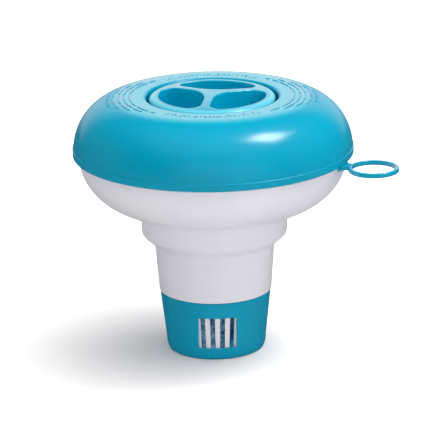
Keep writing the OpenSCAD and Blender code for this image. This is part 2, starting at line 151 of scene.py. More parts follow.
# ---- image points, in pixels
W = H = 423
POINTS = {
    "dome_left": (72.3, None),
    "dome_right": (353.9, None),
    "crown_top": (None, 71.0),
    "foot_bottom": (None, 359.8),
    "ring_right": (399.5, None),
    "ring_bottom": (None, 178.5),
    "cap_left": (147.8, 99.2),
    "cap_right": (275.2, 97.5),
    "opening_front": (208.0, 114.0),
    "rim_front": (207.0, 192.9),
    "cup_left": (141.9, 229.5),
    "cup_right": (286.0, 227.0),
    "collar_front": (214.0, 304.3),
    "window_left": (198.1, 333.0),
    "window_right": (237.2, 333.0),
    "marks_left": (107.0, 100.0),
    "marks_right": (317.0, 96.5),
}

# ---- camera
CAMERA_AZIMUTH = 22 * DEG
CAMERA_ELEVATION = 17.33 * DEG
CAMERA_ROLL = 1.05 * DEG  # the photograph's right side stands this much higher
CAMERA_DISTANCE = 2.3
SENSOR_W = 36.0
LENS = 8.546 * SENSOR_W
AIM_RIGHT, AIM_Z = -1.72 * MM, 89.45 * MM

RIGHTWARD = Vector((math.cos(CAMERA_AZIMUTH), math.sin(CAMERA_AZIMUTH), 0))
AWAY = Vector((-math.sin(CAMERA_AZIMUTH), math.cos(CAMERA_AZIMUTH), 0))
UP = Vector((0, 0, 1))


def studio_place(right, away, up):
    """The point so far right of, behind and above the part's foot, as the camera sees it."""
    return RIGHTWARD * right + AWAY * away + UP * up


def linked(name, data):
    """A new object that carries data, in the scene."""
    made = bpy.data.objects.new(name, data)
    bpy.context.scene.collection.objects.link(made)
    return made


def make_camera():
    """The camera's own axes are the level ones turned about the line of sight by the roll."""
    back = (-AWAY * math.cos(CAMERA_ELEVATION) + UP * math.sin(CAMERA_ELEVATION)).normalized()
    level_up = back.cross(RIGHTWARD)
    cr, sr = math.cos(CAMERA_ROLL), math.sin(CAMERA_ROLL)
    x_axis = RIGHTWARD * cr - level_up * sr
    y_axis = RIGHTWARD * sr + level_up * cr
    place = studio_place(AIM_RIGHT, 0, AIM_Z) + back * CAMERA_DISTANCE
    data = bpy.data.cameras.new("photo_camera")
    data.sensor_fit = "AUTO"
    data.sensor_width = SENSOR_W
    data.lens = LENS
    data.clip_start, data.clip_end = 0.05, 20
    camera = linked("photo_camera", data)
    axes = Matrix((x_axis, y_axis, back)).transposed()
    camera.matrix_world = Matrix.Translation(place) @ axes.to_4x4()
    bpy.context.scene.camera = camera
    return camera


camera = make_camera()


def pixels_of(points):
    """Where points fall in the photograph: the camera's own x and y over its depth, times
    the lens over the sensor, from the picture's middle."""
    view = np.array(camera.matrix_world.inverted())
    local = points @ view[:3, :3].T + view[:3, 3]
    scale = max(W, H) * LENS / SENSOR_W
    x = W / 2 + scale * local[:, 0] / -local[:, 2]
    y = H / 2 - scale * local[:, 1] / -local[:, 2]
    return np.stack([x, y], -1)


def on_surface(name, tree):
    """Where an image point lies on a finished piece: the ray along
    (x - W/2 + shift_x L, H/2 - y + shift_y L, -L lens / sensor) in the camera's axes meets
    its tree. A miss takes the place nearest the ray."""
    x, y = POINTS[name]
    side = max(W, H)
    lens = camera.data
    ray = Vector((x - W / 2 + lens.shift_x * side, H / 2 - y + lens.shift_y * side,
                  -side * lens.lens / lens.sensor_width)).normalized()
    start = camera.matrix_world.translation
    along = camera.matrix_world.to_3x3() @ ray
    hit = tree.ray_cast(start, along)[0]
    if hit is None:
        near = [tree.find_nearest(start + along * t)
                for t in np.linspace(CAMERA_DISTANCE - 0.2, CAMERA_DISTANCE + 0.2, 200)]
        hit = min(near, key=lambda found: found[3])[0]
    return hit


# ---- curves
def arc(centre, rx, ry, start, end, steps, full=2.0):
    """Arc of a superellipse, x = cx + rx |cos a|^(2/full), y = cy + ry sin a, with a in
    degrees. full is 2 for a plain ellipse."""
    a = np.radians(np.linspace(start, end, steps + 1))
    c = np.cos(a)
    x = centre[0] + rx * np.sign(c) * np.abs(c) ** (2 / full)
    return np.stack([x, centre[1] + ry * np.sin(a)], -1)


def rounded(*parts, closed=False, steps=5):
    """Outline through parts: corners (x, y), corners with a radius (x, y, r), which become
    arcs, and arrays of points, kept as they are."""
    corners = []
    for part in parts:
        if isinstance(part, np.ndarray):
            corners += [(x, y, 0.0) for x, y in part]
        else:
            corners.append((*part, 0.0)[:3])
    rows = []
    for i, (x, y, radius) in enumerate(corners):
        point = np.array([x, y])
        if not radius or (not closed and i in (0, len(corners) - 1)):
            rows.append(point[None])
            continue
        before = np.array(corners[i - 1][:2]) - point
        after = np.array(corners[(i + 1) % len(corners)][:2]) - point
        u, v = before / np.linalg.norm(before), after / np.linalg.norm(after)
        half = math.acos(np.clip(u @ v, -1, 1)) / 2
        reach = radius / math.tan(half)
        room = 0.49 * min(np.linalg.norm(before), np.linalg.norm(after))
        if reach > room:
            radius, reach = radius * room / reach, room
        middle = point + (u + v) / np.linalg.norm(u + v) * radius / math.sin(half)
        from_a, to_a = point + u * reach - middle, point + v * reach - middle
        t = np.linspace(0, 1, steps + 1)[:, None]
        spread = math.pi - 2 * half
        ray = (np.sin((1 - t) * spread) * from_a + np.sin(t * spread) * to_a) / math.sin(spread)
        rows.append(middle + ray)
    return np.vstack(rows)


def quarter(count):
    """Angles from 0 to a right angle."""
    return np.linspace(0, math.pi / 2, count)


def polar(r, angle, z):
    """Points at a distance from the axis, an angle about it and a height."""
    return np.stack([r * np.cos(angle), r * np.sin(angle), z], -1)


def box_section(r0, r1, z0, z1, radius, steps=5):
    """Closed rectangle of (r, z) with rounded corners."""
    return rounded((r0, z0, radius), (r1, z0, radius), (r1, z1, radius), (r0, z1, radius),
                   closed=True, steps=steps)


def turned(profile, angles):
    """Surface of a profile of (r, z) points turned about Z."""
    r, z = profile[:, 0, None], profile[:, 1, None]
    return polar(r, angles, z + 0 * angles)


def capped(grid):
    """The grid with a column gathered to its middle before the first and after the last."""
    first, last = (np.broadcast_to(grid[:, i].mean(0), grid[:, i].shape)[:, None] for i in (0, -1))
    return np.concatenate([first, grid, last], 1)


def spun(x, y, angle):
    """The plan point (x, y) turned about Z by angle."""
    return x * np.cos(angle) - y * np.sin(angle), x * np.sin(angle) + y * np.cos(angle)


# ---- skins
class Skin:
    """A closed skin gathered from grids of points that meet along their edges."""

    def __init__(self):
        self.points, self.quads, self.count = [], [], 0

    def add(self, grid, close_rows=False, close_cols=False):
        """Adds a grid of shape (rows, columns, 3), joined to itself where told."""
        rows, cols = grid.shape[:2]
        index = np.arange(rows * cols).reshape(rows, cols) + self.count
        if close_rows:
            index = np.vstack([index, index[:1]])
        if close_cols:
            index = np.hstack([index, index[:, :1]])
        quads = [index[:-1, :-1], index[1:, :-1], index[1:, 1:], index[:-1, 1:]]
        self.quads.append(np.stack(quads, -1).reshape(-1, 4))
        self.points.append(grid.reshape(-1, 3))
        self.count += rows * cols
        return self

    def add_block(self, r0, r1, z0, z1, start, end, radius, steps=12):
        """Closed sector of a ring: a rounded box section turned from start to end, and drawn
        in by the radius at both ends."""
        inset = radius * (1 - np.sin(quarter(4)))
        a0, a1 = start + radius / r1, end - radius / r1
        stops = radius * (1 - np.cos(quarter(4))) / r1
        angles = np.concatenate([start + stops, np.linspace(a0, a1, steps)[1:-1], end - stops[::-1]])
        insets = np.concatenate([inset, np.zeros(steps - 2), inset[::-1]])
        middle = np.array([(r0 + r1) / 2, (z0 + z1) / 2])
        section = box_section(r0, r1, z0, z1, radius, 3)
        half = np.array([(r1 - r0) / 2, (z1 - z0) / 2])
        columns = []
        for angle, cut in zip(angles, insets):
            shrunk = middle + (section - middle) * (half - cut) / half
            columns.append(turned(shrunk, np.array([angle]))[:, 0])
        return self.add(capped(np.stack(columns, 1)), close_rows=True)

    def piece(self, name, material, body, slot, *nodes):
        """Welds the grids, points every face outwards, and makes the object, hung from its body's empty,
        in place of the CAD nodes it names, which it hides.
        """
        mesh = bpy.data.meshes.new(name)
        mesh.from_pydata(np.vstack(self.points).tolist(), [], np.vstack(self.quads).tolist())
        work = bmesh.new()
        work.from_mesh(mesh)
        bmesh.ops.remove_doubles(work, verts=work.verts, dist=0.002 * MM)
        bmesh.ops.recalc_face_normals(work, faces=work.faces)
        work.to_mesh(mesh)
        work.free()
        mesh.shade_smooth()
        mesh.set_sharp_from_angle(angle=40 * DEG)
        mesh.materials.append(material)
        obj = linked(name, mesh)
        obj.modifiers.new("even_normals", "WEIGHTED_NORMAL").keep_sharp = True
        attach(obj, body)
        if nodes:
            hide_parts(*nodes)
        return obj


# ---- shader expressions
class Value:
    """A shader socket that takes part in Python arithmetic through Math nodes."""

    def __init__(self, finish, socket):
        self.finish, self.socket = finish, socket

    def by(operation):
        """A method that joins two values by this Math operation."""
        return lambda self, other: self.finish.math(operation, self, other)

    __add__ = __radd__ = by("ADD")
    __mul__ = __rmul__ = by("MULTIPLY")
    __sub__, __truediv__, __pow__ = by("SUBTRACT"), by("DIVIDE"), by("POWER")

    def __rsub__(self, other):
        return self.finish.math("SUBTRACT", other, self)


class Finish:
    """One material and its node tree."""

    def __init__(self, name, world=False):
        self.data = bpy.data.worlds.new(name) if world else bpy.data.materials.new(name)
        self.data.use_nodes = True
        self.tree = self.data.node_tree
        self.tree.nodes.clear()

    def node(self, kind, settings=None, sockets=None, out=0):
        """A node of this kind: its settings first, then its sockets' values or links."""
        made = self.tree.nodes.new("ShaderNode" + kind)
        for key, setting in (settings or {}).items():
            setattr(made, key, setting)
        for key, value in (sockets or {}).items():
            if isinstance(value, Value):
                self.tree.links.new(value.socket, made.inputs[key])
            else:
                made.inputs[key].default_value = value
        return Value(self, made.outputs[out]) if made.outputs else None

    def math(self, operation, a, b):
        return self.node("Math", {"operation": operation}, {0: a, 1: b})

    def seen_directly(self):
        """1 for camera and transmission rays."""
        return self.math("MAXIMUM", self.node("LightPath", out=0), self.node("LightPath", out=6))

    def place(self):
        """The object's own coordinates, in metres."""
        return self.node("TexCoord", out=3)

    def part(self, axis):
        """One of the object's own coordinates: 0 for x, 1 for y and 2 for z."""
        return self.node("SeparateXYZ", None, {0: self.place()}, out=axis)

    def radius(self):
        """How far a place is from the object's own z axis."""
        x, y = self.part(0), self.part(1)
        return (x * x + y * y) ** 0.5

    def dot(self, vector, direction):
        """How far a vector goes along a fixed direction."""
        return self.node("VectorMath", {"operation": "DOT_PRODUCT"},
                         {0: vector, 1: tuple(direction)}, out=1)

    def noise(self, scale, detail=2.0, roughness=0.5):
        """Noise of this many features to the metre, 0 to 1 about a half."""
        return self.node("TexNoise", None,
                         {"Vector": self.place(), "Scale": scale, "Detail": detail,
                          "Roughness": roughness})

    def step(self, value, low, high):
        """0 below low, 1 above high and a smooth rise between."""
        return self.node("MapRange", {"interpolation_type": "SMOOTHSTEP"},
                         {"Value": value, "From Min": low, "From Max": high})

    def blend(self, factor, a, b):
        """Colour a where factor is 0 and b where it is 1."""
        return self.node("Mix", {"data_type": "RGBA"}, {0: factor, 6: a, 7: b}, out=2)

    def bump(self, height, distance, strength=1.0, normal=None):
        sockets = {"Height": height, "Distance": distance, "Strength": strength}
        if normal:
            sockets["Normal"] = normal
        return self.node("Bump", None, sockets)

    def surface(self, **sockets):
        """Ends the tree in one Principled shader; underscores in names stand for spaces."""
        named = {key.replace("_", " "): value for key, value in sockets.items()}
        shader = self.node("BsdfPrincipled", None, named)
        return self.output(shader)

    def output(self, shader, kind="OutputMaterial"):
        """Ends the tree. What glows here is too faint to be sampled as a lamp."""
        self.node(kind, None, {"Surface": shader})
        if kind == "OutputMaterial":
            self.data.cycles.emission_sampling = "NONE"
        return self.data


def colour(red, green, blue):
    """Linear colour from the 0 to 255 values that a picture shows."""
    def linear(v):
        v /= 255
        return v / 12.92 if v <= 0.04045 else ((v + 0.055) / 1.055) ** 2.4
    return linear(red), linear(green), linear(blue), 1.0


def plastic(name, pale, deep, roughness, grain, gloss=0.2, polish=None, edge=None,
            through=None):
    """Moulded plastic: a faint drift of colour, a fine grain and a slight waviness. polish
    masks a glassier skin. edge is (colour, mask) for painted light over the base, and through
    is (colour, mask) for a painted glow that stands for light through a thin wall.
    A mask makes a value from the finish."""
    f = Finish(name)
    drift = f.step(f.noise(18, 3), 0.35, 0.65)
    base = f.blend(drift, colour(*deep), colour(*pale))
    if edge:
        base = f.blend(edge[1](f), base, colour(*edge[0]))
    cloud = f.noise(260, 3)
    fine = f.noise(1900, 2, 0.6)
    wave = f.bump(f.noise(32, 1), 0.05 * MM, 0.3)
    dark = colour(0, 0, 0)
    lit = f.blend(through[1](f), dark, colour(*through[0])) if through else dark
    return f.surface(Base_Color=base, Roughness=roughness + (cloud - 0.5) * 0.12,
                     Normal=f.bump(fine, grain, 0.5, wave), Specular_IOR_Level=gloss,
                     Coat_Weight=polish(f) if polish else 0.0, Coat_Roughness=0.12,
                     Emission_Color=lit, Emission_Strength=1.0 if through else 0.0)


def crown_level(f):
    """1 on the level crown, which dome_plastic paints paler than the shoulder: a painted sheen of
    reflection and light from above. It also masks the coat.
    """
    return (f.step(f.part(2), CROWN_Z - 1.6 * MM, CROWN_Z - 0.2 * MM)
            * f.step(f.radius(), OPENING_R + 1 * MM, OPENING_R + 2 * MM))


def dome_polish(f):
    """1 on the level crown and on the tether ring."""
    return crown_level(f) + f.step(f.radius(), FLOAT_R + 0.5 * MM, FLOAT_R + 2 * MM)


def lid_rim_painted_reflection(f):
    """1 on the lid's rounded rim, which lid_plastic paints as pale as its top: a painted reflection."""
    return (f.step(f.radius(), LID_TOP_R - 0.6 * MM, LID_TOP_R + 0.4 * MM)
            * f.step(f.part(2), LID_RIM_Z - 2.6 * MM, LID_RIM_Z - 1.6 * MM))


def lid_level(f):
    """1 on the lid's top inside its rounded rim."""
    return (f.step(f.part(2), LID_RIM_Z - 2 * MM, LID_RIM_Z - 0.2 * MM)
            * (1 - f.step(f.radius(), LID_TOP_R - 0.5 * MM, LID_TOP_R + 0.8 * MM)))


def under_taper(f):
    """Depth under the collar's straight taper."""
    rise = (f.part(2) - FOOT_H) * ((COLLAR_TOP_R - COLLAR_LOW_R) / (COLLAR_H - FOOT_H))
    return rise + COLLAR_LOW_R - f.radius()


def window_edges_painted_light(f):
    """1 on the edges of the collar's windows, which collar_plastic paints lighter: painted light on
    reveals that lie in shade.
    """
    z, top = f.part(2), WINDOW_Z + WINDOW_H
    return (f.step(under_taper(f), 0.15 * MM, 0.45 * MM)
            * f.step(z, WINDOW_Z - 0.6 * MM, WINDOW_Z - 0.2 * MM)
            * (1 - f.step(z, top + 0.1 * MM, top + 0.4 * MM)))


def basket_inside_painted_light(f):
    """1 on the inside of the basket, where white_plastic is painted teal and glows faintly: painted light
    for what comes through the teal collar.
    """
    through = COLLAR_WALL + 0.3 * MM + BASKET_WALL
    return (f.step(under_taper(f), through - 0.5 * MM, through - 0.1 * MM)
            * (1 - f.step(f.part(2), COLLAR_H, COLLAR_H + 4 * MM)))


def seal_rubber():
    f = Finish("seal_rubber")
    return f.surface(Base_Color=f.blend(f.noise(150), colour(14, 20, 26), colour(30, 38, 44)),
                     Roughness=0.6 + f.noise(400) * 0.2, Normal=f.bump(f.noise(900), 0.05 * MM))


def pressed_tablet():
    """Pressed granules: pale grains of several sizes, with darker teal patches at random.
    Its colours are darkened and tinted teal: painted shade and painted teal light inside the basket.
    """
    f = Finish("pressed_tablet")
    grains = f.node("TexVoronoi", None, {"Vector": f.place(), "Scale": 620.0}, out=0)
    dark_teal_patches = f.step(f.noise(170, 4, 0.65), 0.42, 0.62)
    speck = f.step(grains, 0.25, 0.75)
    pale = f.blend(speck, colour(176, 206, 222), colour(120, 160, 186))
    return f.surface(Base_Color=f.blend(dark_teal_patches, pale, colour(40, 104, 136)),
                     Roughness=0.85 - dark_teal_patches * 0.35,
                     Normal=f.bump(grains + f.noise(420, 3), 0.35 * MM, 0.8))


# The dome's level crown is painted paler through crown_level: a painted sheen of reflection and light
# from above.
dome_plastic = plastic("dome_plastic", (0, 160, 192), (0, 155, 187), 0.23, 0.012 * MM,
                       0.5, dome_polish, ((20, 182, 208), crown_level))
mark_plastic = plastic("mark_plastic", (0, 152, 186), (0, 146, 180), 0.32, 0.012 * MM,
                       0.5, crown_level)
# The lid's rounded rim is painted pale: a painted reflection.
lid_plastic = plastic("lid_plastic", (0, 176, 207), (0, 168, 199), 0.22, 0.014 * MM,
                      0.5, lid_level, ((96, 198, 222), lid_rim_painted_reflection))
# Inside the basket the white plastic is painted teal and glows faintly: painted light for what comes
# through the teal collar.
white_plastic = plastic("white_plastic", (240, 239, 245), (235, 234, 242), 0.4, 0.01 * MM,
                        0.3, None, ((130, 205, 222), basket_inside_painted_light),
                        ((12, 84, 108), basket_inside_painted_light))
# The window reveals are painted lighter: painted light on edges that lie in shade.
collar_plastic = plastic("collar_plastic", (0, 162, 196), (0, 154, 188), 0.36, 0.03 * MM,
                         0.25, None, ((70, 178, 204), window_edges_painted_light))
rubber = seal_rubber()
tablet_finish = pressed_tablet()


# ---- upper float shell
ROUND = np.linspace(0, TAU, 360, endpoint=False)


def shoulder(inset=0.0, steps=72):
    """The shoulder's quarter of a superellipse, from the level crown down to the band."""
    return arc((CROWN_FLAT_R, SHOULDER_Z), SHOULDER_R - inset - CROWN_FLAT_R,
               CROWN_Z - inset - SHOULDER_Z, 90, 0, steps, FULLNESS)


def crown_height(r):
    """Height of the crown at radius r: level, then z = z0 + h sqrt(1 - ((r - r0) / w)^full)."""
    u = np.clip((r - CROWN_FLAT_R) / (SHOULDER_R - CROWN_FLAT_R), 0, 1)
    return SHOULDER_Z + (CROWN_Z - SHOULDER_Z) * np.sqrt(1 - u ** FULLNESS)


def upper_float_shell():
    in_r = FLOAT_R - WALL
    rib_z = BOWL_Z + FLANGE_T
    outer, inner = shoulder(), shoulder(WALL)[::-1]
    profile = rounded(
        (TUBE_R, TUBE_Z, 0.3 * MM), (OPENING_R, TUBE_Z, 0.3 * MM), (OPENING_R, CROWN_Z, 1.5 * MM),
        outer[outer[:, 1] > RIM_TOP_Z + 0.6 * MM],
        (SHOULDER_R, RIM_TOP_Z, 0.25 * MM), (FLOAT_R, RIM_TOP_Z, 0.3 * MM), (FLOAT_R, RIM_Z, 0.8 * MM),
        (in_r, RIM_Z, 0.2 * MM), (in_r, rib_z), (in_r - 2.2 * MM, rib_z, 0.2 * MM),
        (in_r - 2.2 * MM, rib_z + 3 * MM),
        inner[inner[:, 1] > rib_z + 3.2 * MM],
        (TUBE_R, CROWN_Z - WALL, 0.8 * MM), closed=True)
    skin = Skin().add(turned(profile, ROUND), close_rows=True, close_cols=True)
    for k in range(3):
        arm = LID_ARM + THIRD * k
        skin.add_block(LEDGE_R, OPENING_R + 1 * MM, LEDGE_LOW_Z, SEAL_Z,
                       arm + NOTCH_ARC / 2, arm + THIRD - NOTCH_ARC / 2, 0.3 * MM, 60)
        for start in (LUG_ARC / 2 + STOP_GAP, -LUG_ARC / 2 - LID_TURN - STOP_GAP - STOP_ARC):
            skin.add_block(OPENING_R - 2.2 * MM, OPENING_R + 1 * MM, LUG_LOW_Z, LEDGE_LOW_Z + 0.3 * MM,
                           arm + start, arm + start + STOP_ARC, 0.3 * MM, 5)
    add_tether_eye(skin)
    return skin.piece("float_shell_skin", dome_plastic, "float_body", "float_plastic",
                      "upper_float_shell", "tablet_tube", "tether_eye")


def add_tether_eye(skin):
    """A rounded section turned about the eye's axis, and a rounded bar along X that runs in
    under the rim and flares towards it."""
    low, high = EYE_LOW_Z, EYE_TOP_Z
    edge, ring_w, nub_edge = 0.9 * MM, EYE_OUT_R - EYE_R, 0.7 * MM
    section = rounded((EYE_R, low, 0.6 * MM), (EYE_R + ring_w, low, edge),
                      (EYE_R + ring_w, high, edge), (EYE_R, high, 0.6 * MM), closed=True)
    ring = turned(section, np.linspace(0, TAU, 96, endpoint=False))
    skin.add(ring + np.array([EYE_X, 0, 0]), close_rows=True, close_cols=True)
    fillet, neck_half = 5.5 * MM, 3.2 * MM
    start, end = FLOAT_R - 2.2 * MM, EYE_X - EYE_R - ring_w / 2
    x = np.linspace(start, end, 30)
    half = neck_half + fillet - np.sqrt(np.maximum(fillet ** 2 - (end - x) ** 2, 0))
    middle, half_h = (low + high) / 2, (high - low) / 2
    bend = nub_edge * (1 - np.cos(quarter(5)))
    drop = nub_edge * (1 - np.sin(quarter(5)))
    inset = np.concatenate([bend, bend[::-1]])
    tall = np.concatenate([half_h - drop, half_h - drop[::-1]])
    right = np.concatenate([-(half[None] - inset[:5, None]), half[None] - inset[5:, None]])
    upper = np.stack([np.broadcast_to(x, right.shape), right, middle + tall[:, None] + 0 * right], -1)
    lower = upper[::-1].copy()
    lower[..., 2] = 2 * middle - lower[..., 2]
    skin.add(capped(np.concatenate([upper, lower])), close_rows=True)


def add_dash(skin, radius, start, end, half_w=0.7 * MM, height=0.4 * MM):
    """Low half-round strip along a circle on the crown, pointed at both ends."""
    reach = min(1.2 * MM / radius, (end - start) / 3)
    count = max(4, int((end - start) / 0.02))
    ease = np.linspace(0, 1, 5)
    along = np.concatenate([start + reach * ease, np.linspace(start + reach, end - reach, count)[1:-1],
                            end - reach + reach * ease])
    swell = np.concatenate([np.sin(ease * math.pi / 2), np.ones(count - 2), np.cos(ease * math.pi / 2)])
    t = np.linspace(0, math.pi, 7)[:, None]
    r = radius + half_w * np.cos(t) * swell
    z = crown_height(r) + height * np.sin(t) * swell
    top = polar(r, along, z)
    under = top[::-1].copy()
    under[..., 2] = crown_height(r[::-1]) - 0.15 * MM
    skin.add(np.concatenate([top, under]), close_rows=True)


def crown_marks(shell):
    """Raised dashes on the crown, where the photograph has lettering: long ones on five
    circles left and right of the lid, the inner ones reaching further round, and short ones
    on two circles in front of the lid and behind it."""
    rng = np.random.default_rng(7)
    skin = Skin()
    tree = BVHTree.FromObject(shell, bpy.context.evaluated_depsgraph_get())
    row_gap, reach, more_reach = 3.5 * MM, 0.2, 0.15
    short_reach, share_shown = 0.62, 0.85
    for name in ("marks_left", "marks_right"):
        place = on_surface(name, tree)
        middle, outermost = math.atan2(place.y, place.x), math.hypot(place.x, place.y)
        for row in range(5):
            radius = outermost - row_gap * row
            angle, end = middle - reach - more_reach * row, middle + reach + more_reach * row
            while angle < end:
                length = rng.uniform(6, 20) * MM / radius
                add_dash(skin, radius, angle, min(angle + length, end + 0.05))
                angle += length + rng.uniform(0.9, 2) * MM / radius
    behind = math.atan2(AWAY.y, AWAY.x)
    for middle in (behind + math.pi, behind):
        for radius in (48.2 * MM, 51 * MM):
            angle, end = middle - short_reach, middle + short_reach
            while angle < end:
                length = rng.uniform(0.9, 2.6) * MM / radius
                if rng.random() < share_shown:
                    add_dash(skin, radius, angle, angle + length, 0.35 * MM, 0.25 * MM)
                angle += length + rng.uniform(0.7, 1.5) * MM / radius
    return skin.piece("crown_marks", mark_plastic, "float_body", "float_plastic")


# ---- lid
def pocket_outline(grow):
    """Half of a finger pocket's outline about +X, made wider by grow: an arc by the lid's
    middle, a side along the web, a corner arc and the outer circle. Returns the points and
    how many belong to each stretch."""
    side = 60 * DEG
    apex_x = WEB_W / 2 / math.sin(side) + POCKET_APEX_R / math.sin(side)
    corner_line = POCKET_R - POCKET_CORNER_R
    corner_a = side - math.asin((WEB_W / 2 + POCKET_CORNER_R) / corner_line)
    corner = corner_line * np.array([math.cos(corner_a), math.sin(corner_a)])
    rc, ra = POCKET_CORNER_R + grow, POCKET_APEX_R + grow
    counts = (14, 10, 12, 24)
    apex = arc((apex_x, 0), ra, ra, 180, 150, counts[0])
    bend = arc(corner, rc, rc, 150, math.degrees(corner_a), counts[2])
    straight = apex[-1] + (bend[0] - apex[-1]) * np.linspace(0, 1, counts[1] + 1)[:, None]
    outer = arc((0, 0), POCKET_R + grow, POCKET_R + grow, math.degrees(corner_a), 0, counts[3])
    return np.vstack([apex, straight[1:], bend[1:], outer[1:]]), counts


def cell_edge(rim_r):
    """Half of the edge of one pocket's third of the lid, point for point with the outline:
    out along the web's middle line, then round the rim."""
    outline, (apex, straight, bend, outer) = pocket_outline(0)
    side = 60 * DEG
    out = np.array([math.cos(side), math.sin(side)])
    rho = outline @ out
    marks = [0, rho[apex], rho[apex + straight], rim_r]
    radii = np.concatenate([np.linspace(marks[0], marks[1], apex + 1),
                            np.linspace(marks[1], marks[2], straight + 1)[1:],
                            np.linspace(marks[2], marks[3], bend // 2 + 1)[1:]])
    bend_a = math.atan2(outline[-outer - 1, 1], outline[-outer - 1, 0])
    angles = np.concatenate([np.linspace(side, bend_a, bend // 2 + 1)[1:],
                             np.linspace(bend_a, 0, outer + 1)[1:]])
    rim = rim_r * np.stack([np.cos(angles), np.sin(angles)], -1)
    return np.vstack([radii[:, None] * out, rim])


def both_halves(half):
    """A full outline about +X from its upper half, without the shared end points twice."""
    return np.vstack([half, (half * [1, -1])[-2:0:-1]])


def add_pocket(skin, turn, rim_r, grow, lip, floor_z, floor_r, top):
    """A third of the lid's skin: rows run in from the cell's edge, round the lip, down the
    pocket's wall, round the floor's fillet and in to its middle. top gives the skin's
    height at a distance from the axis."""
    rows, heights = [], []

    def add_row(plan, z):
        rows.append(plan)
        heights.append(z)

    edge = both_halves(cell_edge(rim_r))
    lip_outline = both_halves(pocket_outline(grow + lip)[0])
    for t in np.linspace(0, 1, 6):
        plan = edge + (lip_outline - edge) * t
        add_row(plan, top(np.hypot(*plan.T)))
    for a in quarter(6)[1:]:
        plan = both_halves(pocket_outline(grow + lip * (1 - math.sin(a)))[0])
        add_row(plan, top(np.hypot(*plan.T)) - lip * (1 - math.cos(a)))
    wall, wall_z = rows[-1], heights[-1]
    for t in (0.1, 0.5, 0.9):
        add_row(wall, wall_z + (floor_z + floor_r - wall_z) * t)
    for a in quarter(8):
        plan = both_halves(pocket_outline(grow - floor_r * (1 - math.cos(a)))[0])
        add_row(plan, np.full(len(plan), floor_z + floor_r * (1 - math.sin(a))))
    floor = rows[-1]
    middle = floor.mean(0)
    for t in (0.15, 0.5, 0.85, 1.0):
        add_row(floor + (middle - floor) * t, np.full(len(floor), floor_z))
    plan = np.stack(rows)
    x, y = spun(plan[..., 0], plan[..., 1], turn)
    skin.add(np.stack([x, y, np.stack(heights)], -1), close_cols=True)


def lid():
    def dome(r):
        return LID_TOP_Z - (LID_DOME_R - np.sqrt(LID_DOME_R ** 2 - r ** 2))

    def ceiling(r):
        return dome(r) - POCKET_WALL

    edge = cell_edge(1.0)
    on_rim = np.hypot(*edge.T) > 1 - 1e-9
    half = np.arctan2(edge[on_rim, 1], edge[on_rim, 0])
    cell = np.concatenate([half, -half[-2::-1]])[::-1]
    angles = np.concatenate([LID_ARM + THIRD * (k + 0.5) + cell[:-1] for k in range(3)])
    skin = Skin()
    for k in range(3):
        turn = LID_ARM + THIRD * (k + 0.5)
        add_pocket(skin, turn, LID_TOP_R, 0, 0.9 * MM, POCKET_FLOOR_Z, 3.4 * MM, dome)
        add_pocket(skin, turn, SKIRT_IN_R, POCKET_WALL, 0.15 * MM, POCKET_FLOOR_Z - 1.8 * MM,
                   1.5 * MM, ceiling)
    rim = arc((LID_TOP_R, LID_RIM_Z - LID_EDGE_H), LID_EDGE_W, LID_EDGE_H, 90, 0, 12)
    profile = rounded(rim, (LID_R, LID_UNDER_Z, 0.4 * MM), (SKIRT_R, LID_UNDER_Z, 0.3 * MM),
                      (SKIRT_R, LID_LOW_Z + 3.1 * MM, 0.4 * MM),
                      (SKIRT_IN_R, LID_LOW_Z + 3.1 * MM, 0.4 * MM),
                      (SKIRT_IN_R, ceiling(SKIRT_IN_R)))
    skin.add(turned(profile, angles), close_cols=True)
    for k in range(3):
        arm = LID_ARM + THIRD * k
        skin.add_block(SKIRT_R - 1 * MM, OPENING_R - 0.6 * MM, LUG_LOW_Z, LUG_TOP_Z,
                       arm - LUG_ARC / 2, arm + LUG_ARC / 2, 0.3 * MM)
    return skin.piece("lid_skin", lid_plastic, "lid_body", "lid_plastic", "lid")


def lid_seal():
    profile = box_section(SKIRT_R + 0.3 * MM, OPENING_R - 0.6 * MM, SEAL_Z, LID_UNDER_Z, 0.3 * MM)
    skin = Skin().add(turned(profile, ROUND), close_rows=True, close_cols=True)
    return skin.piece("seal_ring", rubber, "seal_body", "seal_rubber", "lid_seal")


# ---- framed holes in a wall
ACROSS, UPWARD = 14, 30  # steps across and up a patch that holds a hole


def hole_outline(half_w, z0, z1, corner, across, upward, grow=0.0):
    """Round-cornered rectangle of (x, z) points, wider by grow, anticlockwise from its lower
    left corner's middle: across steps along each level side, upward on the others."""
    r = corner + grow
    w, low, high = half_w + grow, z0 - grow, z1 + grow
    bend = np.radians(np.linspace(0, 45, 3))

    def side(length, count):
        """Along a side of this length from a corner's middle to the next one's: (along, in)."""
        run = np.concatenate([r - r * np.cos(math.pi / 4 + bend),
                              np.linspace(r, length - r, count - 3)[1:-1],
                              length - r + r * np.cos(math.pi / 2 - bend)])
        deep = np.concatenate([r - r * np.sin(math.pi / 4 + bend), np.zeros(count - 5),
                               r - r * np.sin(math.pi / 2 - bend)])
        return run, deep

    run, deep = side(2 * w, across)
    rise, depth = side(high - low, upward)
    sides = [np.stack([-w + run, low + deep], -1), np.stack([w - depth, low + rise], -1),
             np.stack([w - run, high - deep], -1), np.stack([-w + depth, high - rise], -1)]
    return np.vstack([s[:-1] for s in sides])


def cell_outline(half_a, z0, z1, across, upward):
    """The same walk round a plain rectangle of (angle, z), in even steps."""
    a, z = np.linspace(-half_a, half_a, across + 1), np.linspace(z0, z1, upward + 1)
    sides = [np.stack([a, 0 * a + z0], -1), np.stack([0 * z + half_a, z], -1),
             np.stack([a[::-1], 0 * a + z1], -1), np.stack([0 * z - half_a, z[::-1]], -1)]
    return np.vstack([s[:-1] for s in sides])


